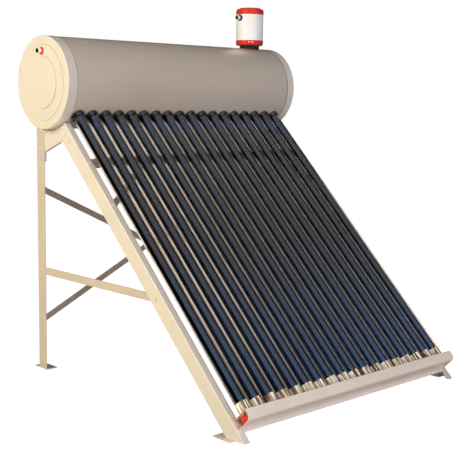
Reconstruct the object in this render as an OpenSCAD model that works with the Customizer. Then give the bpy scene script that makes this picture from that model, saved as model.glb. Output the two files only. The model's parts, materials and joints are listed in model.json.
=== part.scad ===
// Compact thermosiphon solar water heater: a horizontal storage tank on a folded-steel
// stand, a bank of evacuated glass tubes below it and a float-valve feeder tank on top.
// Row frame: X along the tank, +Y to the back, +Z up. The origin lies on the floor at
// the centre of the four anchor holes.

/* [Tank] */
// Outside diameter of the tank at its end caps
tank_d = 450; // [430:10:470]
// Length of the tank over its end caps' outer faces
tank_l = 1536; // [1520:8:1600]
// Height of the tank's axis above the floor
axis_h = 1447; // [1440:1:1500]
// Thickness of the foam between the outer shell and the water tank
foam_t = 50; // [48:1:52]
// Width of each end cap's skirt
skirt_w = 54; // [50:1:56]

/* [Tubes] */
// Number of evacuated tubes
tube_count = 18; // [18]
// Spacing of the tubes along the tank
tube_pitch = 78; // [78:0.5:79]
// Outside diameter of the outer glass
glass_d = 58; // [58]
// Outside diameter of the coated inner glass
absorber_d = 47; // [47]
// Overall length of a tube
tube_l = 1800; // [1790:5:1805]
// Slope of the tubes above the horizontal, in degrees
tilt = 44.5; // [44:0.5:46]
// Offset of the tube bank along the tank
bank_shift = -8; // [-8:1:8]

/* [Stand] */
// Distance from the centre to each leg's outer face
leg_x = 726; // [724:1:730]
// Thickness of the folded steel
steel_t = 2.5; // [2:0.5:3]
// Width of a front leg's side
front_leg_w = 75; // [70:1:80]
// Width of a rear leg's side
rear_leg_w = 71; // [66:1:76]
// Width of the legs' flanges
flange_w = 36; // [30:1:36]
// Diameter of the anchor holes in the foot plates
anchor_d = 12; // [10:1:14]

/* [Feeder tank] */
// Outside diameter of the feeder tank's body
feeder_d = 154; // [150:1:160]
// Height of the feeder tank's white body
feeder_h = 146; // [140:1:160]
// Distance of the feeder tank from the tank's middle
feeder_x = 622; // [600:1:630]

/* [Hidden] */
$fn = 48;
eps = 0.01; // overlap that joins shapes of one solid
cut = 1; // how far a cutting shape runs past what it cuts
tube_names = [for (i = [1:tube_count]) str("tube_", i < 10 ? "0" : "", i)];

champagne = [0.80, 0.74, 0.69];
cream = [0.93, 0.86, 0.72];
feeder_red = [0.75, 0.08, 0.06];
white = [0.93, 0.93, 0.91];
black = [0.06, 0.06, 0.06];

// Sizes along a tube, measured from the tank's axis
tank_r = tank_d / 2;
tube_start = 135;
tube_end = tube_start + tube_l;
mirror_start = tube_end - 80;
absorber_end = tube_end - 50;
glass_t = 1.8;
glass_r = glass_d / 2;
absorber_r = absorber_d / 2;
absorber_t = 1.6;
seal_top = 160;
seal_bottom = 182;
ring_top = 212;
ring_bottom = 241;
ring_r = 37;
cup_top = 1912;
cup_r = 35;

// Tank layers
shell_r = tank_r - 1.2;
shell_t = 1.2;
cap_t = 1;
water_r = tank_r - foam_t;
water_t = 1.5;
face_x = tank_l / 2;
water_half = face_x - foam_t;
seam_x = face_x - skirt_w;
entry_hole_r = 32;
cap_disc_r = 0.56 * tank_r;
cap_band_r = 0.81 * tank_r;
outlet_h = 151;
pipe_r = 10;
thread_r = 10.5;
thread_l = 20;
pipe_bore_r = 7.5;
outlet_reach = 27;

// Tail rail section: offsets across the tubes and distances along them
rail_front = 50;
rail_back = 47;
rail_top = 1904;
rail_floor = 1949;
rail_lip = 1962;
rail_corner_r = 22;
rail_t = 1.5;
rail_half = 710;

// Stand. Heights and depths are measured from the tank's axis.
leg_front_n = -rail_back;
rear_leg_y = 52;
rear_leg_back = rear_leg_y + rear_leg_w;
tank_clear_r = tank_r + 4;
lip_r = tank_r + 0.3;
foot_t = 4;
foot_front_y = -1256;
foot_rear_y = 146;
anchor_x = 712;
axis_y = -(foot_front_y + foot_rear_y) / 2;
flange_mid_x = leg_x - 20;
brace_z = -937;
brace_h = 38;
rear_brace_w = 31;
rear_brace_high = -525;
rear_brace_low = -1205;
bar_s = 482;
bar_w = 46;
bar_end = leg_x - 2 * steel_t - 1;
bar_edge = 14;
stay_s = 745;
stay_x = 385;
stay_w = 30;
leg_l = 2000;
leg_top = 100;
return_w = 9;
bend_r = 4;
bolt_r = 4;
bolt_head_r = 7.2;
hole_r = 4.25;
side_bolts = [[-139, -248], [-165, -273], [87, -325], [87, -372], [75, brace_z], [-835, brace_z]];

// Feeder tank, heights from the tank's axis
feeder_r = feeder_d / 2;
feeder_wall = 3.5;
collar_bottom = 206;
collar_r = 54;
collar_top = 242;
base_top = 270;
base_floor = 6;
stub_r = 12.5;
body_top = base_top + feeder_h;
lid_top = body_top + 37;
inlet_z = body_top - 20;
inlet_reach = 28;
pivot_x = -30;
pivot_z = inlet_z - 11;
arm_l = 58;
pin_r = 2;
plunger_r = 5;
float_r = 24;

// Position of a tube along the tank
function tube_x(i) = bank_shift + (i - (tube_count - 1) / 2) * tube_pitch;

// Moves children from the tank's axis to their place in the row frame
module on_axis() translate([0, axis_y, axis_h]) children();

// Frame along a tube: local -Z runs down the tube and local -Y faces the sky
module along_tube(x = 0) on_axis() translate([x, 0, 0]) rotate([tilt - 90, 0, 0]) children();

module each_tube() for (i = [0:tube_count - 1]) along_tube(tube_x(i)) children();

// A cylinder along X, centred on the tank's axis
module x_cylinder(r, l) rotate([0, 90, 0]) cylinder(r = r, h = l, center = true, $fn = 96);

// A closed-end tube envelope hanging from z = top down to its domed tip
module round_end(r, top, tip) {
    translate([0, 0, -tip + r]) cylinder(r = r, h = tip - r - top);
    translate([0, 0, -tip + r]) sphere(r = r);
}

// ---- Evacuated tubes ----

module glass_tube(i) color([0.75, 0.85, 0.85, 0.35]) along_tube(tube_x(i)) difference() {
    round_end(glass_r, tube_start, tube_end);
    round_end(glass_r - glass_t, tube_start + 6, tube_end - glass_t);
    translate([0, 0, -tube_start - 7]) cylinder(r = absorber_r, h = 8);
}

module absorber_tubes() color([0.08, 0.10, 0.16]) each_tube() difference() {
    round_end(absorber_r, tube_start, absorber_end);
    round_end(absorber_r - absorber_t, tube_start - 1, absorber_end - absorber_t);
}

// Silvered lining left by the fired getter at the closed end of each tube
module getter_mirrors() color([0.85, 0.84, 0.80]) each_tube() {
    lining_r = glass_r - glass_t;
    lining_t = 0.5;
    difference() {
        round_end(lining_r, mirror_start, tube_end - glass_t);
        round_end(lining_r - lining_t, mirror_start - 1, tube_end - glass_t - lining_t);
    }
}

// Spring clip that centres the inner glass in the outer one and carries the getter ring
module tube_clips() color([0.7, 0.7, 0.68]) each_tube() {
    clip_r = 12;
    clip_h = 8;
    clip_bottom = absorber_end + clip_h + 1;
    translate([0, 0, -clip_bottom]) {
        difference() {
            cylinder(r = clip_r, h = clip_h);
            translate([0, 0, -1]) cylinder(r = clip_r - 1, h = clip_h + 2);
        }
        for (a = [0, 120, 240])
            rotate([0, 0, a]) translate([clip_r - 0.5, -2, 0]) cube([12, 4, 1]);
    }
}

// Silicone ring that grips the edge of each tube's hole in the water tank
module tank_seals() color([0.75, 0.35, 0.2]) each_tube() {
    lip_h = 8;
    inner_lip_h = 6;
    difference() {
        union() {
            translate([0, 0, -seal_top - lip_h]) cylinder(r = ring_r, h = lip_h);
            translate([0, 0, -seal_bottom]) cylinder(r = entry_hole_r - 0.5, h = seal_bottom - seal_top - 2);
            translate([0, 0, -seal_bottom]) cylinder(r = ring_r - 1, h = inner_lip_h);
        }
        translate([0, 0, -seal_bottom - cut]) cylinder(r = glass_r, h = seal_bottom - seal_top + 2 * cut);
    }
}

// Black rubber ring around each tube where it enters the outer shell
module dust_rings() color(black) each_tube() {
    body_bottom = ring_bottom - 9;
    difference() {
        union() {
            difference() {
                union() {
                    translate([0, 0, -body_bottom]) cylinder(r = ring_r, h = body_bottom - ring_top);
                    translate([0, 0, -ring_bottom])
                        cylinder(r1 = ring_r - 5, r2 = ring_r - 1.5, h = ring_bottom - body_bottom + eps);
                }
                x_cylinder(shell_r + eps, 3 * ring_r);
            }
            translate([0, 0, -228]) cylinder(r = entry_hole_r - 0.5, h = 16);
        }
        translate([0, 0, -ring_bottom - cut]) cylinder(r = glass_r, h = 50);
    }
}

// Red cup that carries each tube's closed end on the rail's floor
module tube_cups() color(feeder_red) each_tube() {
    cup_h = rail_floor - rail_t - cup_top;
    foot_h = 7;
    difference() {
        translate([0, 0, -cup_top - cup_h]) {
            cylinder(r1 = cup_r - foot_h, r2 = cup_r, h = foot_h);
            translate([0, 0, foot_h]) cylinder(r = cup_r, h = cup_h - foot_h);
        }
        round_end(glass_r + 0.2, rail_top, tube_end + 0.2);
    }
}

// ---- Tail rail ----

// Rail section: x is the offset across the tubes, y the distance up them
module rail_section() {
    front_corner = rail_front - rail_corner_r;
    translate([rail_front - rail_t, -rail_floor + rail_corner_r])
        square([rail_t, rail_floor - rail_corner_r - rail_top]);
    translate([-rail_back, -rail_floor]) square([front_corner + rail_back, rail_t]);
    translate([-rail_back, -rail_top - rail_t]) square([rail_front + rail_back, rail_t]);
    translate([front_corner, -rail_floor + rail_corner_r]) intersection() {
        difference() {
            circle(r = rail_corner_r, $fn = 64);
            circle(r = rail_corner_r - rail_t, $fn = 64);
        }
        translate([0, -rail_corner_r]) square(rail_corner_r);
    }
    translate([-rail_back, -rail_lip]) square([rail_t, rail_lip - rail_top]);
}

module tail_rail() color(champagne) difference() {
    along_tube(bank_shift) rotate([90, 0, 90]) translate([0, 0, -rail_half])
        mirror([1, 0, 0]) linear_extrude(2 * rail_half) rail_section();
    each_tube() translate([0, 0, -rail_top - 5]) cylinder(r = glass_r + 1.5, h = 10);
    rail_fixings() cylinder(r = 2.6, h = 20, center = true);
}

// Screws through the rail's lower lip into the front legs' flanges
module rail_fixings() for (side = [-1, 1])
    along_tube() translate([side * (leg_x - 28), -leg_front_n, -(rail_floor + rail_lip) / 2])
        rotate([90, 0, 0]) children();

module rail_screws() color([0.75, 0.75, 0.75]) rail_fixings() {
    translate([0, 0, rail_t]) cylinder(r1 = 4.8, r2 = 3.6, h = 2.6);
    translate([0, 0, -9]) cylinder(r = 2.4, h = 9 + rail_t);
}

// ---- Tank ----

module outer_shell() color(champagne) difference() {
    on_axis() difference() {
        x_cylinder(shell_r, 2 * seam_x + 24);
        x_cylinder(shell_r - shell_t, 2 * seam_x + 30);
        translate([feeder_x, 0, shell_r - 20]) cylinder(r = 14, h = 40);
    }
    each_tube() translate([0, 0, -tank_r - 35]) cylinder(r = entry_hole_r, h = 80);
}

module insulation() color([0.93, 0.88, 0.66]) difference() {
    on_axis() difference() {
        x_cylinder(shell_r - shell_t - 0.3, tank_l - 26);
        x_cylinder(water_r + 0.3, 2 * water_half + 0.6);
        translate([feeder_x, 0, 0]) cylinder(r = 14, h = tank_r + 10);
        translate([-face_x, 0, outlet_h]) rotate([0, 90, 0]) cylinder(r = pipe_r + 0.5, h = 90);
        translate([water_half - 10, 0, 0]) rotate([0, 90, 0]) cylinder(r = 17, h = 80);
    }
    each_tube() {
        translate([0, 0, -tank_r - 25]) cylinder(r = entry_hole_r, h = 110);
        translate([0, 0, -seal_bottom - cut]) cylinder(r = ring_r + 1, h = 50);
    }
}

module inner_tank() color([0.72, 0.73, 0.75]) difference() {
    on_axis() difference() {
        x_cylinder(water_r, 2 * water_half);
        x_cylinder(water_r - water_t, 2 * (water_half - water_t));
        translate([feeder_x, 0, 100]) cylinder(r = 13, h = 100);
        translate([-water_half - 5, 0, outlet_h]) rotate([0, 90, 0]) cylinder(r = pipe_r, h = 10);
        translate([water_half - 5, 0, 0]) rotate([0, 90, 0]) cylinder(r = 11, h = 10);
    }
    each_tube() translate([0, 0, -water_r - 25]) cylinder(r = entry_hole_r, h = 80);
}

// Section of the end cap, t inside its outer surface: a raised disc in the middle, the face,
// a slightly lower band round it and the skirt
module cap_section(t) {
    disc_rise = 4;
    edge_r = 4;
    rim_x = face_x - 2;
    translate([0, seam_x - t]) {
        square([cap_disc_r - t, face_x + disc_rise - seam_x]);
        square([cap_band_r - t, face_x - seam_x]);
        square([tank_r - edge_r, rim_x - seam_x]);
        square([tank_r - t, rim_x - edge_r - seam_x + t]);
    }
    translate([tank_r - edge_r, rim_x - edge_r]) circle(r = edge_r - t);
}

// Pressed end cap, drawn for the left end
module end_cap_body() rotate([0, -90, 0]) rotate_extrude($fn = 128) difference() {
    cap_section(0);
    cap_section(cap_t);
}

module end_cap_left() color(cream) on_axis() difference() {
    end_cap_body();
    translate([-face_x - 5, 0, outlet_h]) rotate([0, 90, 0]) cylinder(r = 13, h = 30);
}

module end_cap_right() color(champagne) on_axis() difference() {
    mirror([1, 0, 0]) end_cap_body();
    translate([face_x - 20, 0, 0]) rotate([0, 90, 0]) cylinder(r = 17, h = 30);
}

// Half-inch pipe stub from the water tank's end, out through the left cap
module hot_outlet() color(white) on_axis()
    translate([-face_x - outlet_reach, 0, outlet_h]) rotate([0, 90, 0])
        pipe_stub(outlet_reach + foam_t + 4, pipe_bore_r);

// Pipe along +Z with a thicker threaded end at z = 0
module pipe_stub(length, bore_r) difference() {
    union() {
        cylinder(r = thread_r, h = thread_l);
        translate([0, 0, thread_l]) cylinder(r = pipe_r, h = length - thread_l);
    }
    translate([0, 0, -1]) cylinder(r = bore_r, h = length + 2);
}

module outlet_grommet() color(feeder_red) on_axis()
    translate([-face_x - 7, 0, outlet_h]) rotate([0, 90, 0]) difference() {
        union() {
            cylinder(r1 = 15, r2 = 18.5, h = 7);
            cylinder(r = 12.8, h = 12);
        }
        translate([0, 0, -1]) cylinder(r = pipe_r + 0.5, h = 20);
    }

// Magnesium rod that protects the water tank, on a hexagonal plug in the right end
module anode() color([0.62, 0.63, 0.64]) on_axis() rotate([0, 90, 0]) {
    translate([0, 0, water_half - 420]) cylinder(r = 8, h = 421);
    translate([0, 0, water_half - 6]) cylinder(r = 11, h = foam_t + 2);
    translate([0, 0, face_x - 6]) cylinder(r = 15, h = 15, $fn = 6);
}

// ---- Feeder tank ----

module on_feeder() on_axis() translate([feeder_x, 0, 0]) children();

module feeder_stub() color([0.72, 0.73, 0.75]) on_feeder() difference() {
    stub_bottom = water_r - 6;
    stub_l = base_top + 2 - stub_bottom;
    translate([0, 0, stub_bottom]) cylinder(r = stub_r, h = stub_l);
    translate([0, 0, stub_bottom - cut]) cylinder(r = stub_r - 3.5, h = stub_l + 2 * cut);
}

// Ribbed locking collar, cut to sit on the tank
module feeder_collar() color(black) on_feeder() {
    rib_r = 2.2;
    rib_step = 10;
    difference() {
        translate([0, 0, collar_bottom]) {
            cylinder(r = collar_r, h = collar_top - collar_bottom);
            for (a = [0:rib_step:360 - rib_step])
                rotate([0, 0, a]) translate([collar_r, 0, 0])
                    cylinder(r = rib_r, h = collar_top - collar_bottom - 4);
        }
        x_cylinder(shell_r + eps, 4 * collar_r);
        translate([0, 0, collar_bottom - cut]) cylinder(r = stub_r + 0.5, h = 60);
    }
}

// Red base that stands on the collar: the feeder's floor, hollow from below
module feeder_base() color(feeder_red) on_feeder() {
    chamfer = 6;
    base_r = feeder_r + 1;
    difference() {
        union() {
            translate([0, 0, collar_top]) cylinder(r1 = base_r - chamfer, r2 = base_r, h = chamfer);
            translate([0, 0, collar_top + chamfer]) cylinder(r = base_r, h = base_top - collar_top - chamfer);
        }
        translate([0, 0, collar_top - cut])
            cylinder(r = collar_r - 6, h = base_top - collar_top - base_floor + cut);
        translate([0, 0, collar_top]) cylinder(r = stub_r + 0.1, h = 2 * (base_top - collar_top));
    }
}

module feeder_body() color(white) on_feeder() difference() {
    translate([0, 0, base_top]) cylinder(r = feeder_r, h = feeder_h);
    translate([0, 0, base_top - 1]) cylinder(r = feeder_r - feeder_wall, h = feeder_h + 2);
    translate([-feeder_r - 10, 0, inlet_z]) rotate([0, 90, 0]) cylinder(r = pipe_r + 0.1, h = 30);
}

// Lift-off lid with a rolled top and a plug that drops into the body
module feeder_lid() color(feeder_red) on_feeder() {
    rim_r = feeder_r + 1.5;
    translate([0, 0, body_top]) rotate_extrude($fn = 96) difference() {
        union() {
            translate([0, 0.2]) square([rim_r, 20]);
            translate([0, 20]) square([rim_r - 12, 12]);
            translate([rim_r - 12, 20]) intersection() {
                circle(r = 12);
                square(12);
            }
            translate([0, 32]) square([rim_r - 20, lid_top - body_top - 32]);
            translate([0, -4.5]) square([feeder_r - feeder_wall - 0.3, 6]);
        }
        translate([-1, -6]) square([feeder_r - feeder_wall - 2.3, 23]);
        translate([-1, 16]) square([rim_r - 15, 13]);
    }
}

// Half-inch cold inlet, toward the left, with a flange inside the wall
module inlet_stub() color(white) on_feeder()
    translate([-feeder_r - inlet_reach, 0, inlet_z]) rotate([0, 90, 0]) {
        pipe_stub(inlet_reach + feeder_r - 60, 6);
        translate([0, 0, inlet_reach + feeder_wall + 2]) difference() {
            cylinder(r = 13, h = 5);
            translate([0, 0, -1]) cylinder(r = pipe_r - eps, h = 7);
        }
    }

module inlet_ring() color([0.1, 0.3, 0.75]) on_feeder() difference() {
    translate([-feeder_r - 7, 0, inlet_z]) rotate([0, 90, 0]) difference() {
        cylinder(r = 17.5, h = 10);
        translate([0, 0, -1]) cylinder(r = pipe_r + 0.5, h = 20);
    }
    translate([0, 0, base_top]) cylinder(r = feeder_r + eps, h = feeder_h, $fn = 96);
}

// Valve body with a blind bore for the plunger and two cheeks for the float arm's pin
module float_valve() color(white) on_feeder() difference() {
    union() {
        translate([-60, 0, inlet_z]) rotate([0, 90, 0]) cylinder(r = 9, h = 22);
        for (side = [-1, 1]) translate([-48, side * 7 - 1.5, pivot_z - 5]) cube([23, 3, 11]);
    }
    translate([-50, 0, inlet_z]) rotate([0, 90, 0]) cylinder(r = plunger_r, h = 20);
    translate([-61, 0, inlet_z]) rotate([0, 90, 0]) cylinder(r = 3, h = 15);
    translate([pivot_x, 0, pivot_z]) rotate([90, 0, 0]) cylinder(r = pin_r, h = 30, center = true);
}

module valve_plunger() color(feeder_red) on_feeder()
    translate([-48, 0, inlet_z]) rotate([0, 90, 0]) cylinder(r = plunger_r - 0.05, h = 20);

// Arm with a hub on the pin, a heel behind the plunger and a rod to the float
module float_arm() color([0.8, 0.7, 0.35]) on_feeder() translate([pivot_x, 0, pivot_z]) difference() {
    union() {
        rotate([90, 0, 0]) cylinder(r = 4.5, h = 10, center = true);
        translate([2.5, -4, 0]) cube([3, 8, 14]);
        rotate([0, 90, 0]) cylinder(r = 2.5, h = arm_l - 20);
    }
    rotate([90, 0, 0]) cylinder(r = pin_r + 0.05, h = 20, center = true);
}

module float_pin() color([0.7, 0.7, 0.7]) on_feeder()
    translate([pivot_x, 0, pivot_z]) rotate([90, 0, 0]) cylinder(r = pin_r, h = 21, center = true);

module float_ball() color([0.9, 0.5, 0.15]) on_feeder() translate([pivot_x + arm_l, 0, pivot_z])
    difference() {
        sphere(r = float_r);
        sphere(r = float_r - 1.5);
        translate([-30, 0, 0]) rotate([0, 90, 0]) cylinder(r = 2.5, h = 12);
    }

// ---- Stand ----

// Runs its children for the right side and their mirror image for the left
module on_side(side) mirror([side < 0 ? 1 : 0, 0, 0]) children();

// Clears holes for the bolts along X through one side's plates
module side_holes() on_axis() for (p = side_bolts)
    translate([leg_x, p[0], p[1]]) rotate([0, 90, 0]) cylinder(r = hole_r, h = 30, center = true);

module tank_clearance() on_axis() x_cylinder(tank_clear_r, 2 * leg_x + 200);

// Section of a folded channel: x runs out to its side, y back from its flange. The flange is
// w wide and the side d deep, and lip is the width of the return at the flange's inner edge.
module bent_section(w, d, lip = 0) {
    inner_x = lip > 0 ? 0 : -2 * bend_r;
    difference() {
        bent_outline(inner_x, w, d);
        offset(delta = -steel_t) bent_outline(inner_x, w, d);
        translate([inner_x - cut, max(lip, steel_t)]) square([w - inner_x + cut - steel_t, d]);
        if (lip == 0) translate([inner_x - cut, -cut]) square([cut - inner_x, d]);
    }
}

module bent_outline(x1, x2, d) intersection() {
    offset(r = bend_r, $fn = 24) offset(delta = -bend_r)
        translate([x1, 0]) square([x2 - x1, d + 2 * bend_r]);
    translate([x1, 0]) square([x2 - x1, d]);
}

// Folded front leg: side, front flange and a small return at the flange's inner edge
module front_leg(side) color(cream) on_side(side) {
    gap_l = 60;
    difference() {
        intersection() {
            along_tube() translate([leg_x - flange_w, -leg_front_n, -leg_l - leg_top])
                linear_extrude(leg_l) bent_section(flange_w, front_leg_w, return_w);
            translate([leg_x - 100, -1000, foot_t]) cube([200, 2000, axis_h]);
        }
        // gaps in the flange's return for the cross bar and the stay
        for (s = [bar_s, stay_s - 14])
            along_tube() translate([leg_x - flange_w - cut, steel_t - leg_front_n, -s - gap_l / 2])
                cube([steel_t + 2 * cut, 2 * return_w, gap_l]);
        tank_clearance();
        side_holes();
        flange_holes();
        rail_fixings() cylinder(r = 2.4, h = 30, center = true);
    }
}

// Holes through the front flanges and the bars behind them
module flange_holes() flange_fixings() cylinder(r = hole_r, h = 30, center = true);

module flange_fixings() {
    for (side = [-1, 1]) {
        along_tube() translate([side * flange_mid_x, -leg_front_n, -bar_s]) rotate([90, 0, 0]) children();
        along_tube() translate([side * flange_mid_x, -leg_front_n, -stay_s]) rotate([90, 0, 0]) children();
        along_tube() translate([side * stay_x, -leg_front_n, -bar_s]) rotate([90, 0, 0]) children();
    }
}

// Folded rear leg: side and rear flange
module rear_leg(side) color(cream) on_side(side) difference() {
    translate([leg_x - flange_w, axis_y + rear_leg_back, foot_t]) mirror([0, 1, 0])
        linear_extrude(axis_h - 150) bent_section(flange_w, rear_leg_w);
    tank_clearance();
    side_holes();
    rear_fixings() cylinder(r = hole_r, h = 30, center = true);
}

// Saddle plate under the tank's end, with a curved lip, a curved strip and a folded edge.
// Its outline is given as [y, z] from the tank's axis.
module saddle(side) color(cream) on_side(side) {
    plate_top = -150;
    plate_back = 118;
    plate_bottom = -385;
    edge_y = 41;
    edge_top = -340;
    front_foot = [-153, -308];
    front_low = [-193, -267];
    front_high = [-125, -199];
    edge_end = [-103, -284];
    lip_w = 29;
    difference() {
        union() {
            saddle_strip();
            on_axis() {
                rotate([90, 0, 90]) translate([0, 0, leg_x - 2 * steel_t]) difference() {
                    linear_extrude(steel_t) polygon([[plate_back, plate_top], [plate_back, plate_bottom],
                        [edge_y, plate_bottom], [edge_y, edge_top], edge_end, front_foot, front_low,
                        front_high, [front_high[0], plate_top]]);
                    translate([0, 0, -cut]) cylinder(r = lip_r, h = steel_t + 2 * cut, $fn = 96);
                }
                rotate([90, 0, 90]) translate([0, 0, leg_x - 2 * steel_t + 1 - lip_w])
                    saddle_arc(lip_r, lip_r + steel_t, lip_w, -105, 115);
                folded_edge([edge_y, plate_bottom], [edge_y, edge_top]);
                folded_edge([edge_y, edge_top], edge_end + [5, -2]);
            }
        }
        side_holes();
    }
}

// Curved strip that stiffens the saddle plate and passes over the outsides of both legs
module saddle_strip() difference() {
    strip_r = tank_r + 14;
    strip_w = 7;
    strip_h = 2.5;
    leg_gap = 0.2;
    on_axis() rotate([90, 0, 90]) translate([0, 0, leg_x - steel_t - eps])
        saddle_arc(strip_r, strip_r + strip_w, steel_t + eps + strip_h, -112, 108);
    on_axis() translate([leg_x - 2 * steel_t, rear_leg_y - leg_gap, -2 * tank_r])
        cube([2 * steel_t, rear_leg_w + leg_gap, 2 * tank_r]);
    along_tube() translate([leg_x - 2 * steel_t, -leg_front_n - leg_gap, -2 * tank_r])
        cube([2 * steel_t, front_leg_w + 2 * leg_gap, 2 * tank_r]);
}

// Strip of a ring below the tank between two radii and two depths, h high
module saddle_arc(r1, r2, h, y1, y2) intersection() {
    difference() {
        cylinder(r = r2, h = h, $fn = 96);
        translate([0, 0, -cut]) cylinder(r = r1, h = h + 2 * cut, $fn = 96);
    }
    translate([y1, -2 * tank_r, -cut]) cube([y2 - y1, 2 * tank_r - 50, h + 2 * cut]);
}

// Stiffening fold that stands out from the saddle plate along a straight edge
module folded_edge(a, b) {
    run = b - a;
    fold_w = 13;
    translate([leg_x - steel_t, a[0], a[1]]) rotate([atan2(run[1], run[0]), 0, 0])
        translate([-eps, 0, 0]) cube([fold_w, norm(run), steel_t]);
}

module side_brace(side) color(cream) on_side(side) difference() {
    brace_back = 105;
    brace_front = -845;
    slant = 30;
    on_axis() translate([leg_x - 2 * steel_t, 0, 0]) rotate([90, 0, 90]) linear_extrude(steel_t)
        polygon([[brace_back, brace_z + brace_h / 2], [brace_back, brace_z - brace_h / 2],
            [brace_front - slant, brace_z - brace_h / 2], [brace_front, brace_z + brace_h / 2]]);
    side_holes();
}

// Holes and bolts along Y at the ends and the middle of the rear cross braces
module rear_fixings() on_axis() {
    for (x = [-flange_mid_x, flange_mid_x], z = [rear_brace_high, rear_brace_low])
        translate([x, rear_leg_back, z]) rotate([90, 0, 0]) children();
    translate([0, rear_leg_back, (rear_brace_high + rear_brace_low) / 2]) rotate([90, 0, 0]) children();
}

// Flat bar from one rear leg's flange to the other, at depth y
module rear_brace(z_left, z_right, y) color([0.62, 0.57, 0.52]) difference() {
    run = [2 * flange_mid_x, z_right - z_left];
    end_l = 10;
    on_axis() translate([-flange_mid_x, y, z_left]) rotate([0, -atan2(run[1], run[0]), 0])
        translate([-end_l, 0, -rear_brace_w / 2]) cube([norm(run) + 2 * end_l, steel_t, rear_brace_w]);
    rear_fixings() cylinder(r = hole_r, h = 30, center = true);
}

// Channel behind the front flanges that ties the two front legs together
module cross_bar() color([0.62, 0.57, 0.52]) difference() {
    along_tube() translate([0, steel_t - leg_front_n, -bar_s]) {
        translate([-bar_end, 0, -bar_w / 2]) cube([2 * bar_end, steel_t, bar_w]);
        for (edge = [-bar_w / 2, bar_w / 2 - steel_t])
            translate([40 - bar_end, 0, edge]) cube([2 * (bar_end - 40), bar_edge, steel_t]);
    }
    // notches in the lower edge for the stays
    for (side = [-1, 1]) on_side(side)
        along_tube() translate([stay_x, 2 * steel_t - leg_front_n, -bar_s - bar_w / 2 - cut])
            cube([60, bar_edge, steel_t + 2 * cut]);
    flange_holes();
}

// Pair of diagonal stays from the front legs up to the cross bar
module front_stays() color([0.62, 0.57, 0.52]) difference() {
    end_l = 10;
    run = [flange_mid_x - stay_x, stay_s - bar_s];
    for (side = [-1, 1]) on_side(side)
        along_tube() translate([stay_x, 2 * steel_t - leg_front_n, -bar_s])
            rotate([0, atan2(run[1], run[0]), 0])
            translate([-end_l, 0, -stay_w / 2]) cube([norm(run) + 2 * end_l, steel_t, stay_w]);
    for (side = [-1, 1]) on_side(side) translate([bar_end, -1000, 0]) cube([50, 2000, axis_h]);
    flange_holes();
}

module foot_plates() color(cream) for (side = [-1, 1]) on_side(side) {
    foot([leg_x - 32, leg_x + 26], [foot_front_y - 84, foot_front_y + 18],
        [foot_front_y - 84, foot_front_y - 34], foot_front_y);
    foot([leg_x - 62, leg_x + 1], [rear_leg_y - 1, foot_rear_y + 16],
        [rear_leg_y + 6, rear_leg_back - 7], foot_rear_y);
}

// One foot: a floor plate over x_span and y_span, an anchor hole and a tab over tab_span that
// is welded to the inside of the leg
module foot(x_span, y_span, tab_span, hole_y) difference() {
    tab_h = 42;
    translate([0, axis_y, 0]) {
        translate([x_span[0], y_span[0], 0])
            cube([x_span[1] - x_span[0], y_span[1] - y_span[0], foot_t]);
        translate([leg_x - 2 * steel_t, tab_span[0], foot_t - eps])
            cube([steel_t, tab_span[1] - tab_span[0], tab_h]);
    }
    translate([anchor_x, axis_y + hole_y, -1]) cylinder(d = anchor_d, h = foot_t + 2);
}

// Hexagon bolt with its nut: the head stands on z = 0 and the plates are t thick below it
module bolt(t) {
    nut_h = 5.5;
    shank_end = t + nut_h + 3.5;
    cylinder(r = bolt_head_r, h = 4.5, $fn = 6);
    translate([0, 0, -shank_end]) cylinder(r = bolt_r, h = shank_end + eps);
    translate([0, 0, -t - nut_h]) cylinder(r = bolt_head_r, h = nut_h, $fn = 6);
}

module frame_bolts() color([0.7, 0.7, 0.7]) {
    for (side = [-1, 1], p = side_bolts) on_side(side) on_axis()
        translate([leg_x, p[0], p[1]]) rotate([0, 90, 0]) bolt(2 * steel_t);
    rear_fixings() rotate([180, 0, 0]) translate([0, 0, steel_t]) bolt(3 * steel_t);
    for (side = [-1, 1]) {
        along_tube() translate([side * flange_mid_x, -leg_front_n, -bar_s])
            rotate([90, 0, 0]) bolt(2 * steel_t);
        along_tube() translate([side * flange_mid_x, -leg_front_n, -stay_s])
            rotate([90, 0, 0]) bolt(3 * steel_t);
        along_tube() translate([side * stay_x, -leg_front_n + steel_t, -bar_s])
            rotate([90, 0, 0]) bolt(2 * steel_t);
    }
}

for (i = [0:tube_count - 1]) glass_tube(i);
absorber_tubes();
getter_mirrors();
tube_clips();
tank_seals();
dust_rings();
tube_cups();
tail_rail();
rail_screws();
outer_shell();
insulation();
inner_tank();
end_cap_left();
end_cap_right();
hot_outlet();
outlet_grommet();
anode();
feeder_stub();
feeder_collar();
feeder_base();
feeder_body();
feeder_lid();
inlet_stub();
inlet_ring();
float_valve();
valve_plunger();
float_arm();
float_pin();
float_ball();
front_leg(-1);  // front_leg_left
front_leg(1);  // front_leg_right
rear_leg(-1);  // rear_leg_left
rear_leg(1);  // rear_leg_right
saddle(-1);  // saddle_left
saddle(1);  // saddle_right
side_brace(-1);  // side_brace_left
side_brace(1);  // side_brace_right
rear_brace(rear_brace_high, rear_brace_low, rear_leg_back - 2 * steel_t);  // rear_brace_down
rear_brace(rear_brace_low, rear_brace_high, rear_leg_back);  // rear_brace_up
cross_bar();
front_stays();
foot_plates();
frame_bolts();
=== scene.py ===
import json
import math

import bpy
from mathutils import Matrix, Vector


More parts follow.
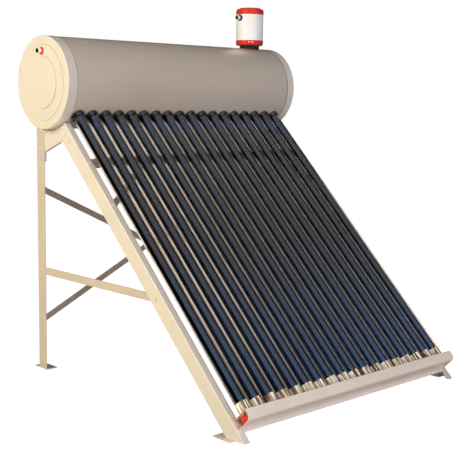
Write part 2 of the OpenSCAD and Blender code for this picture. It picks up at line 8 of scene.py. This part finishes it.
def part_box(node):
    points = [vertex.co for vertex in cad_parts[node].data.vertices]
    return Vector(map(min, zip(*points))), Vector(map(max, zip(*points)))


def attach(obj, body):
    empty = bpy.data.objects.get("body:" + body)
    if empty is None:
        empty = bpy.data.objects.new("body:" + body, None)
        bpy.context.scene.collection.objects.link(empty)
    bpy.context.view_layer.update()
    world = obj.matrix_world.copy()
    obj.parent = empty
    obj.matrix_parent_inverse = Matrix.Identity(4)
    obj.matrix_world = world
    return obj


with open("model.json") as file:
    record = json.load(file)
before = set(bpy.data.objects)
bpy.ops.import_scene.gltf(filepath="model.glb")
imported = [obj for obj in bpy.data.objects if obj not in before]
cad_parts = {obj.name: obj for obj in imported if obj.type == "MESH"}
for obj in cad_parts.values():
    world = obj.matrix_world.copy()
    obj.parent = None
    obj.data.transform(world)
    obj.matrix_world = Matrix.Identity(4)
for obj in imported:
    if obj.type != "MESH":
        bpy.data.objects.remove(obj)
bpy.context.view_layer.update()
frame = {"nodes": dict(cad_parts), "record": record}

BODY = "heater"
MATERIALS = {}

# ---- Node helpers ----


def start_material(name):
    """An empty node material with its output and object coordinates, kept in MATERIALS."""
    material = bpy.data.materials.new(name)
    material.use_nodes = True
    tree = material.node_tree
    tree.nodes.clear()
    output = tree.nodes.new("ShaderNodeOutputMaterial")
    coords = tree.nodes.new("ShaderNodeTexCoord").outputs["Object"]
    MATERIALS[name] = material
    return tree, output, coords


def feed(tree, socket, value):
    """Links value to an input socket where value is a socket too, and sets it otherwise."""
    if isinstance(value, bpy.types.NodeSocket):
        tree.links.new(value, socket)
    else:
        socket.default_value = value


def add(tree, kind, **values):
    """Adds a node. Each value is an attribute or an input, and _ in its name stands for a space.
    An input's value may be a socket."""
    node = tree.nodes.new("ShaderNode" + kind)
    for key, value in values.items():
        if hasattr(node, key):
            setattr(node, key, value)
        else:
            feed(tree, node.inputs[key.replace("_", " ")], value)
    return node


def calculate(tree, kind, operation, *terms):
    """The result of a Math or VectorMath node. Each term is a socket or a constant."""
    node = add(tree, kind, operation=operation)
    for socket, term in zip(node.inputs, terms):
        feed(tree, socket, term)
    gives_number = kind == "Math" or operation in ("DOT_PRODUCT", "LENGTH")
    return node.outputs["Value" if gives_number else "Vector"]


def stretched(tree, coords, scale):
    """Object coordinates scaled by a different amount along each axis."""
    return add(tree, "Mapping", Vector=coords, Scale=scale).outputs["Vector"]


def noise(tree, coords, scale, detail=3.0, roughness=0.55):
    """Noise about 0.5. A higher scale makes finer marks."""
    return add(tree, "TexNoise", Vector=coords, Scale=scale, Detail=detail,
               Roughness=roughness).outputs["Fac"]


def spread(tree, value, low, high, start=0.3, end=0.7):
    """value between start and end, spread from low to high."""
    return add(tree, "MapRange", Value=value, From_Min=start, From_Max=end, To_Min=low,
               To_Max=high).outputs["Result"]


def ramp(tree, value, *stops):
    """A colour ramp. Each stop is (position, (r, g, b))."""
    node = add(tree, "ValToRGB", Fac=value)
    elements = node.color_ramp.elements
    for element, (position, colour) in zip(elements, stops):
        element.position = position
        element.color = (*colour, 1)
    for position, colour in stops[2:]:
        elements.new(position).color = (*colour, 1)
    return node.outputs["Color"]


def bump(tree, height, distance, strength):
    return add(tree, "Bump", Height=height, Distance=distance, Strength=strength).outputs["Normal"]


def choose(tree, switch, colour, switched):
    """colour where switch is 0 and switched where it is 1. Either may be a socket or an RGB."""
    node = add(tree, "Mix", data_type="RGBA")
    first_colour, second_colour, mixed_colour = node.inputs[6], node.inputs[7], node.outputs[2]
    feed(tree, node.inputs[0], switch)
    for socket, value in ((first_colour, colour), (second_colour, switched)):
        feed(tree, socket, (*value, 1) if isinstance(value, tuple) else value)
    return mixed_colour


def mix_shaders(tree, amount, shader, other):
    """shader where amount is 0 and other where it is 1."""
    node = add(tree, "MixShader")
    for socket, value in zip(node.inputs, (amount, shader, other)):
        feed(tree, socket, value)
    return node.outputs["Shader"]


def principled(tree, output, **values):
    """Covers the material with one Principled shader."""
    shader = add(tree, "BsdfPrincipled", **values)
    feed(tree, output.inputs["Surface"], shader.outputs["BSDF"])


# ---- Materials ----


def flake_paint(name, colour, shade, roughness):
    """Metallic lacquer: fine flakes, slow clouding, a little dust and orange peel."""
    tree, output, coords = start_material(name)
    flakes = add(tree, "TexVoronoi", Vector=coords, Scale=1400.0).outputs["Color"]
    glint = add(tree, "RGBToBW", Color=flakes).outputs["Val"]
    clouds = noise(tree, coords, scale=5.0, detail=4.0)
    shine = calculate(tree, "Math", "MULTIPLY_ADD", glint, clouds, 0.12)
    tint = ramp(tree, shine, (0.1, shade), (0.7, colour))
    dust = noise(tree, coords, scale=28.0, detail=6.0)
    gloss = spread(tree, dust, roughness - 0.06, roughness + 0.1)
    peel = noise(tree, coords, scale=260.0, detail=2.0)
    normal = bump(tree, peel, distance=0.0004, strength=0.35)
    principled(tree, output, Base_Color=tint, Roughness=gloss, Normal=normal, Metallic=0.35,
               Coat_Weight=0.25, Coat_Roughness=0.12)


def plastic(name, colour, shade, roughness):
    """Moulded plastic with a fine texture and uneven gloss."""
    tree, output, coords = start_material(name)
    clouds = noise(tree, coords, scale=14.0, detail=5.0)
    tint = ramp(tree, clouds, (0.25, shade), (0.7, colour))
    handling = noise(tree, coords, scale=55.0, detail=4.0)
    gloss = spread(tree, handling, roughness - 0.05, roughness + 0.12)
    texture = noise(tree, coords, scale=900.0, detail=2.0)
    normal = bump(tree, texture, distance=0.0002, strength=0.4)
    principled(tree, output, Base_Color=tint, Roughness=gloss, Normal=normal, IOR=1.5)


def pipe_plastic(name, node, bore_r, tip):
    """White plastic of a pipe along X, black over tip at its lowest X and, as painted shade,
    inside its bore.
    """
    tree, output, coords = start_material(name)
    bore_edge, tip_edge = 0.0003, 0.0004
    low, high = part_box(node)
    from_centre = calculate(tree, "VectorMath", "SUBTRACT", coords, (low + high) / 2)
    from_axis = calculate(tree, "VectorMath", "MULTIPLY", from_centre, (0, 1, 1))
    radius = calculate(tree, "VectorMath", "LENGTH", from_axis)
    # Painted shade: the bore of the white pipe is made black.
    inside = spread(tree, radius, 1.0, 0.0, start=bore_r, end=bore_r + bore_edge)
    x = add(tree, "SeparateXYZ", Vector=coords).outputs["X"]
    at_tip = spread(tree, x, 1.0, 0.0, start=low.x + tip, end=low.x + tip + tip_edge)
    dark = calculate(tree, "Math", "MAXIMUM", inside, at_tip)
    clouds = noise(tree, coords, scale=60.0, detail=5.0)
    white = ramp(tree, clouds, (0.25, (0.76, 0.75, 0.71)), (0.7, (0.86, 0.85, 0.82)))
    tint = choose(tree, dark, white, (0.012, 0.012, 0.013))
    gloss = spread(tree, noise(tree, coords, scale=90.0, detail=4.0), 0.27, 0.44)
    principled(tree, output, Base_Color=tint, Roughness=gloss, IOR=1.5)


def rubber(name, colour, shade):
    """Soft rubber with a glossy skin and a fine grain."""
    tree, output, coords = start_material(name)
    clouds = noise(tree, coords, scale=60.0, detail=6.0)
    tint = ramp(tree, clouds, (0.3, shade), (0.75, colour))
    gloss = spread(tree, noise(tree, coords, scale=90.0, detail=4.0), 0.14, 0.28)
    grain = noise(tree, coords, scale=1100.0, detail=2.0)
    normal = bump(tree, grain, distance=0.0003, strength=0.5)
    principled(tree, output, Base_Color=tint, Roughness=gloss, Normal=normal, Coat_Weight=0.8,
               Coat_Roughness=0.05, Coat_IOR=1.9)


def metal(name, colour, shade, roughness, stretch=(1, 1, 1), grain=0.0002):
    """Bare or plated metal. stretch below 1 along an axis draws its marks out that way."""
    tree, output, coords = start_material(name)
    drawn = stretched(tree, coords, stretch)
    clouds = noise(tree, coords, scale=30.0, detail=6.0)
    tint = ramp(tree, clouds, (0.3, shade), (0.7, colour))
    marks = noise(tree, drawn, scale=420.0, detail=4.0)
    gloss = spread(tree, marks, roughness - 0.08, roughness + 0.12)
    normal = bump(tree, noise(tree, drawn, scale=700.0), distance=grain, strength=0.5)
    principled(tree, output, Base_Color=tint, Roughness=gloss, Normal=normal, Metallic=1.0)


def foam(name, colour, shade):
    """Rigid foam with small cells and uneven yellowing."""
    tree, output, coords = start_material(name)
    cells = add(tree, "TexVoronoi", Vector=coords, Scale=420.0).outputs["Distance"]
    yellowing = noise(tree, coords, scale=9.0, detail=5.0)
    tint = ramp(tree, yellowing, (0.3, shade), (0.7, colour))
    normal = bump(tree, cells, distance=0.001, strength=0.7)
    gloss = spread(tree, cells, 0.75, 0.95, start=0.0, end=0.8)
    principled(tree, output, Base_Color=tint, Roughness=gloss, Normal=normal)


def tube_glass(name):
    """Borosilicate glass with a faint warm tint and a little dust in its gloss. Light that falls
    on what is inside passes straight through it."""
    tree, output, coords = start_material(name)
    streaks = noise(tree, stretched(tree, coords, (1, 0.08, 0.08)), scale=30.0)
    tint = ramp(tree, streaks, (0.3, (0.985, 0.970, 0.95)), (0.7, (0.995, 0.985, 0.97)))
    dust = noise(tree, coords, scale=38.0, detail=6.0)
    gloss = spread(tree, dust, 0.0, 0.015, start=0.45, end=0.75)
    glass = add(tree, "BsdfPrincipled", Base_Color=tint, Roughness=gloss, IOR=1.47,
                Transmission_Weight=1.0).outputs["BSDF"]
    clear = add(tree, "BsdfTransparent", Color=tint).outputs["BSDF"]
    path = add(tree, "LightPath").outputs
    lighting = calculate(tree, "Math", "MAXIMUM", path["Is Shadow Ray"], path["Is Diffuse Ray"])
    feed(tree, output.inputs["Surface"], mix_shaders(tree, lighting, glass, clear))


def absorber_coating(name):
    """Sputtered selective coating, a dark metal: slate along the tube and bluer at both ends,
    partly the coating's own tint and partly painted reflection.
    """
    tree, output, coords = start_material(name)
    low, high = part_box("absorber_tubes")
    height = add(tree, "SeparateXYZ", Vector=coords).outputs["Z"]
    along = spread(tree, height, 0.0, 1.0, start=low.z, end=high.z)
    streaks = noise(tree, stretched(tree, coords, (1, 0.05, 0.05)), scale=60.0, detail=4.0)
    place = calculate(tree, "Math", "MULTIPLY_ADD", streaks, 0.2, along)
    # Partly painted reflection: the lighter band near the top and the blue at both ends also stand
    # in for reflections on the tube.
    tint = ramp(tree, place, (0.1, (0.06, 0.125, 0.28)), (0.55, (0.066, 0.078, 0.104)),
                (0.96, (0.096, 0.11, 0.135)), (1.0, (0.06, 0.105, 0.19)))
    gloss = spread(tree, noise(tree, coords, scale=70.0, detail=5.0), 0.10, 0.16)
    principled(tree, output, Base_Color=tint, Roughness=gloss, Metallic=1.0)


def getter_silver(name):
    """Fired getter film with brown streaks down the tube where it is thin. Its bright cream and
    white are painted reflection, standing in for the mirror's shine.
    """
    tree, output, coords = start_material(name)
    drawn = stretched(tree, coords, (3.6, 0.12, 0.12))
    streaks = noise(tree, drawn, scale=60.0, detail=2.0, roughness=0.5)
    # Painted reflection: the cream and white stops stand in for what the getter mirror reflects.
    tint = ramp(tree, streaks, (0.44, (0.13, 0.075, 0.04)), (0.50, (0.74, 0.61, 0.46)),
                (0.58, (1.0, 0.97, 0.92)))
    gloss = spread(tree, streaks, 0.32, 0.14)
    normal = bump(tree, noise(tree, coords, scale=160.0), distance=0.0003, strength=0.3)
    principled(tree, output, Base_Color=tint, Roughness=gloss, Normal=normal, Metallic=0.25)


def build_materials():
    tube_glass("glass")
    absorber_coating("absorber_coating")
    getter_silver("getter_silver")
    flake_paint("champagne_paint", (0.62, 0.57, 0.535), (0.52, 0.475, 0.435), 0.34)
    # The shell's own paint, also used as painted shade: a darker copy of champagne_paint on the
    # rear legs and side braces.
    flake_paint("shell_paint_and_frame_shade", (0.50, 0.436, 0.388), (0.42, 0.362, 0.32), 0.36)
    # Painted light: a lighter copy of champagne_paint for the tail rail, whose faces catch more
    # light.
    flake_paint("rail_painted_light", (0.76, 0.66, 0.61), (0.64, 0.555, 0.50), 0.34)
    flake_paint("brace_paint", (0.44, 0.375, 0.345), (0.34, 0.29, 0.26), 0.42)
    metal("spring_steel", (0.62, 0.61, 0.58), (0.42, 0.41, 0.39), 0.3)
    flake_paint("zinc_plate", (0.60, 0.57, 0.51), (0.46, 0.43, 0.38), 0.4)
    metal("stainless", (0.62, 0.63, 0.64), (0.45, 0.46, 0.47), 0.28, stretch=(0.05, 1, 1))
    metal("magnesium", (0.58, 0.59, 0.60), (0.38, 0.39, 0.40), 0.5, grain=0.0006)
    metal("brass", (0.76, 0.58, 0.25), (0.50, 0.36, 0.14), 0.28)
    rubber("black_rubber", (0.010, 0.009, 0.009), (0.004, 0.003, 0.003))
    rubber("silicone", (0.60, 0.17, 0.07), (0.42, 0.10, 0.04))
    plastic("red_plastic", (0.43, 0.022, 0.014), (0.34, 0.016, 0.010), 0.22)
    plastic("white_plastic", (0.52, 0.51, 0.545), (0.475, 0.465, 0.50), 0.2)
    plastic("black_plastic", (0.022, 0.022, 0.024), (0.010, 0.010, 0.011), 0.34)
    plastic("blue_plastic", (0.005, 0.010, 0.11), (0.003, 0.007, 0.075), 0.3)
    plastic("orange_plastic", (0.80, 0.30, 0.05), (0.62, 0.20, 0.03), 0.38)
    foam("foam", (0.86, 0.76, 0.46), (0.72, 0.60, 0.32))
    pipe_plastic("outlet_pipe", "hot_outlet", bore_r=0.0076, tip=0.004)
    pipe_plastic("inlet_pipe", "inlet_stub", bore_r=0.0061, tip=0.003)


def paint_nodes():
    """Gives each CAD node a material, mostly the one named after its slot in the record."""
    # Painted shade and light: the rear legs and side braces take the shell's darker paint, and the
    # tail rail takes a lighter copy of champagne_paint.
    special = {"outer_shell": "shell_paint_and_frame_shade", "side_brace_left": "shell_paint_and_frame_shade",
               "side_brace_right": "shell_paint_and_frame_shade", "rear_leg_left": "shell_paint_and_frame_shade",
               "rear_leg_right": "shell_paint_and_frame_shade", "tail_rail": "rail_painted_light",
               "hot_outlet": "outlet_pipe", "inlet_stub": "inlet_pipe"}
    slots = {part["node"]: part["material_slot"] for part in frame["record"]["subparts"]}
    for name, node in frame["nodes"].items():
        node.data.materials.clear()
        node.data.materials.append(MATERIALS[special.get(name, slots[name])])


# ---- Small pieces that ride on the heater ----


def piece(name, vertices, faces, slot):
    """A smooth mesh that keeps its sharp edges and rides on the heater."""
    mesh = bpy.data.meshes.new(name)
    mesh.from_pydata(vertices, [], faces)
    mesh.shade_smooth()
    mesh.set_sharp_from_angle(angle=math.radians(35))
    mesh.materials.append(MATERIALS[slot])
    item = bpy.data.objects.new(name, mesh)
    bpy.context.collection.objects.link(item)
    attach(item, BODY)


def skin(rows, count, closed):
    """Faces between neighbouring rows, each a closed outline of count points. A closed skin
    joins its last row to its first."""
    faces = []
    for row in range(rows if closed else rows - 1):
        here, there = row * count, (row + 1) % rows * count
        for i in range(count):
            j = (i + 1) % count
            faces.append((here + i, here + j, there + j, there + i))
    return faces


def hoop(name, centre, inward, profile, slot):
    """A ring about the X axis. profile is a closed outline of (x, radius) points, and its x
    counts from centre along inward, which is 1 or -1."""
    steps = 128
    outline = [(inward * x, r) for x, r in profile][::inward]
    vertices = []
    for step in range(steps):
        turn = math.tau * step / steps
        vertices += [(centre.x + x, centre.y + r * math.sin(turn), centre.z + r * math.cos(turn))
                     for x, r in outline]
    piece(name, vertices, skin(steps, len(outline), closed=True), slot)


def pipe_thread(name, node, start, length):
    """Helical thread on the half-inch pipe that begins at a node's lowest X. Its ridge has a
    triangular section whose feet are sunk into the pipe."""
    pipe_r, depth, sink = 0.0105, 0.0008, 0.0002
    pitch, steps = 0.0018, 36
    low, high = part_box(node)
    centre = (low + high) / 2
    ridge = ((0, pipe_r - sink), (0.4 * pitch, pipe_r + depth), (0.8 * pitch, pipe_r - sink))
    rows = int(length / pitch) * steps + 1
    vertices = []
    for row in range(rows):
        turn = math.tau * row / steps
        x = low.x + start + pitch * row / steps
        vertices += [(x + dx, centre.y + r * math.sin(turn), centre.z + r * math.cos(turn))
                     for dx, r in ridge]
    last = len(vertices) - len(ridge)
    ends = [(2, 1, 0), (last, last + 1, last + 2)]
    piece(name, vertices, skin(rows, len(ridge), closed=False) + ends, "white_plastic")


def dome(name, place, facing, radius, height, slot):
    """A shallow dome that stands on a wall and faces away from it."""
    rings, steps = 4, 20
    turned = facing.to_track_quat("Z", "Y")
    vertices = []
    for ring in range(rings):
        slope = math.pi / 2 * (1 - ring / rings)
        for step in range(steps):
            turn = math.tau * step / steps
            spot = Vector((radius * math.sin(slope) * math.cos(turn),
                           radius * math.sin(slope) * math.sin(turn), height * math.cos(slope)))
            vertices.append(place + turned @ spot)
    top = len(vertices)
    vertices.append(place + turned @ Vector((0, 0, height)))
    faces = [tuple(reversed(range(steps)))] + skin(rings, steps, closed=False)
    faces += [(top - steps + step, top - steps + (step + 1) % steps, top) for step in range(steps)]
    piece(name, vertices, faces, slot)


def build_cap_sealant_and_shade_lines(side, inward):
    """Sealant where an end cap meets the shell, and two dark rings on the cap's face that are
    painted shade along its pressed steps. inward is the X direction from the cap to the tank."""
    low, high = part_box("end_cap_" + side)
    inner_x, outer_x = (high.x, low.x) if inward > 0 else (low.x, high.x)
    centre = (low + high) / 2
    cap_r = (high.z - low.z) / 2
    cap_sheet, sink, bead_w, bead_h = 0.0012, 0.0002, 0.0024, 0.0008
    shell_r = cap_r - cap_sheet
    hoop("sealant_" + side, Vector((inner_x, centre.y, centre.z)), inward,
         [(0, shell_r - sink), (0, shell_r + bead_h), (bead_w * 2 / 3, shell_r + bead_h * 3 / 4),
          (bead_w, shell_r - sink)], "black_rubber")
    half_depth, foot, crest = 0.0003, (-0.0005, 0.002), (0.0002, 0.0016)
    # Painted shade: two thin dark rings in brace paint where the cap's pressed steps cast their
    # shadow lines.
    for ring, drop, radius in (("inner", 0.004, 0.56 * cap_r), ("outer", 0.006, 0.81 * cap_r)):
        hoop("cap_seam_%s_%s" % (ring, side), Vector((outer_x, centre.y, centre.z)), inward,
             [(drop + half_depth, radius + foot[0]), (drop - half_depth, radius + crest[0]),
              (drop - half_depth, radius + crest[1]), (drop + half_depth, radius + foot[1])],
             "brace_paint")


def build_base_white_dots():
    """Two small white domes side by side on the front left of the feeder tank's base."""
    dot_r, dot_h, sink, rise = 0.0045, 0.002, 0.0008, 0.004
    low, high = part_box("feeder_base")
    centre = (low + high) / 2
    base_r = (high.x - low.x) / 2
    for name, degrees in (("base_white_dot_left", -137), ("base_white_dot_right", -122)):
        angle = math.radians(degrees)
        facing = Vector((math.cos(angle), math.sin(angle), 0))
        place = centre + facing * (base_r - sink) + Vector((0, 0, rise))
        dome(name, place, facing, dot_r, dot_h, "white_plastic")


def build_pieces():
    pipe_thread("outlet_thread", "hot_outlet", start=0.0045, length=0.013)
    pipe_thread("inlet_thread", "inlet_stub", start=0.0035, length=0.014)
    build_cap_sealant_and_shade_lines("left", 1)
    build_cap_sealant_and_shade_lines("right", -1)
    build_base_white_dots()


# ---- Studio ----


def build_floor():
    """A wide pale floor, white to the camera and dark in reflections. Seen through the glass it
    glows, and more so towards the back right."""
    tree, output, coords = start_material("studio_floor")
    half_size, drop, camera_white = 90.0, 0.0005, 0.75
    clouds = noise(tree, coords, scale=0.6, detail=4.0)
    tint = ramp(tree, clouds, (0.3, (0.78, 0.76, 0.74)), (0.7, (0.82, 0.80, 0.78)))
    path = add(tree, "LightPath").outputs
    reflected = choose(tree, path["Is Glossy Ray"], tint, (0.03, 0.03, 0.03))
    matte = add(tree, "BsdfDiffuse", Color=reflected).outputs["BSDF"]
    white = add(tree, "Emission", Color=(1, 1, 1, 1), Strength=1.25).outputs["Emission"]
    toward_back = calculate(tree, "VectorMath", "DOT_PRODUCT", coords, (0.86, 0.55, 0))
    glow = spread(tree, toward_back, 0.02, 1.4, start=-0.9, end=0.6)
    warm = add(tree, "Emission", Color=(1.0, 0.82, 0.66, 1), Strength=glow).outputs["Emission"]
    through_glass = mix_shaders(tree, path["Is Transmission Ray"], matte, warm)
    whiteness = calculate(tree, "Math", "MULTIPLY", path["Is Camera Ray"], camera_white)
    feed(tree, output.inputs["Surface"], mix_shaders(tree, whiteness, through_glass, white))
    mesh = bpy.data.meshes.new("floor")
    corners = [(-half_size, -half_size, 0), (half_size, -half_size, 0), (half_size, half_size, 0),
               (-half_size, half_size, 0)]
    mesh.from_pydata(corners, [], [(0, 1, 2, 3)])
    mesh.materials.append(MATERIALS["studio_floor"])
    floor = bpy.data.objects.new("floor", mesh)
    floor.location.z = -drop
    bpy.context.collection.objects.link(floor)


def build_world():
    """White to the camera and soft light from the sides on matte surfaces. Reflections show a
    room with dark walls, a grey ceiling that is dark on the right, and a narrow strip at the
    front left that is brighter than the rest."""
    world = bpy.data.worlds.new("studio")
    bpy.context.scene.world = world
    world.use_nodes = True
    tree = world.node_tree
    tree.nodes.clear()
    output = tree.nodes.new("ShaderNodeOutputWorld")
    ceiling = (0.35, -0.35, 1.0)
    front_left = (-0.5, -0.866, 0)
    front_right = (0.866, -0.5, 0)
    direction = add(tree, "TexCoord").outputs["Generated"]
    parts = add(tree, "SeparateXYZ", Vector=direction).outputs
    upward = calculate(tree, "VectorMath", "DOT_PRODUCT", direction, ceiling)
    walls = ramp(tree, spread(tree, upward, 0.0, 1.0, start=-0.2, end=1.1),
                 (0.0, (0.01, 0.01, 0.01)), (0.32, (0.02, 0.02, 0.02)),
                 (0.50, (0.46, 0.47, 0.49)), (1.0, (0.40, 0.41, 0.43)))
    lit = spread(tree, parts["X"], 1.0, 0.05, start=0.30, end=0.55)
    ahead = calculate(tree, "VectorMath", "DOT_PRODUCT", direction, front_left)
    sideways = calculate(tree, "VectorMath", "DOT_PRODUCT", direction, front_right)
    aside = calculate(tree, "Math", "ABSOLUTE", sideways)
    narrow = spread(tree, aside, 1.0, 0.0, start=0.05, end=0.09)
    strength = spread(tree, ahead, 0.0, 2.5, start=0.55, end=0.62)
    brightness = calculate(tree, "Math", "MULTIPLY_ADD", narrow, strength, lit)
    room = calculate(tree, "VectorMath", "MULTIPLY", walls, brightness)
    soft = ramp(tree, parts["Z"], (0.0, (0.50, 0.50, 0.51)), (1.0, (0.27, 0.27, 0.28)))
    path = add(tree, "LightPath").outputs
    unseen = choose(tree, path["Is Diffuse Ray"], room, soft)
    colour = choose(tree, path["Is Camera Ray"], unseen, (1.0, 1.0, 1.0))
    background = add(tree, "Background", Color=colour)
    feed(tree, output.inputs["Surface"], background.outputs["Background"])


def soft_light(name, place, aim, size, power, colour):
    """A square area light that points at aim. Only its light is seen, never the lamp itself."""
    data = bpy.data.lights.new(name, "AREA")
    data.size = size
    data.energy = power
    data.color = colour
    light = bpy.data.objects.new(name, data)
    light.location = place
    light.rotation_euler = (Vector(aim) - Vector(place)).to_track_quat("-Z", "Y").to_euler()
    light.visible_camera = False
    light.visible_glossy = False
    light.visible_transmission = False
    bpy.context.collection.objects.link(light)


def build_lights():
    soft_light("warm_key", place=(-5.0, 0.3, 2.7), aim=(-0.7, 0.2, 1.2), size=2.2, power=430,
               colour=(1.0, 0.89, 0.60))
    soft_light("front_fill", place=(-1.5, -6.5, 2.2), aim=(0, 0, 0.9), size=4.0, power=385,
               colour=(0.98, 0.97, 1.0))


def build_camera():
    """A view from the front left, a little below the tank's middle height."""
    place = Vector((-3.333, -3.540, 1.372))
    yaw, pitch, roll = (math.radians(degrees) for degrees in (43.46, -7.32, 0.82))
    forward = Vector((math.sin(yaw) * math.cos(pitch), math.cos(yaw) * math.cos(pitch),
                      math.sin(pitch)))
    level = Vector((math.cos(yaw), -math.sin(yaw), 0))
    upright = level.cross(forward)
    right = level * math.cos(roll) + upright * math.sin(roll)
    up = upright * math.cos(roll) - level * math.sin(roll)
    turned = Matrix((right, up, -forward)).transposed().to_4x4()
    data = bpy.data.cameras.new("camera")
    data.sensor_width = 36.0
    data.lens = 73.52
    data.clip_end = 200.0
    camera = bpy.data.objects.new("camera", data)
    camera.matrix_world = Matrix.Translation(place) @ turned
    bpy.context.collection.objects.link(camera)
    bpy.context.scene.camera = camera


build_materials()
paint_nodes()
build_pieces()
build_floor()
build_world()
build_lights()
build_camera()
bpy.context.scene.view_settings.view_transform = "Standard"
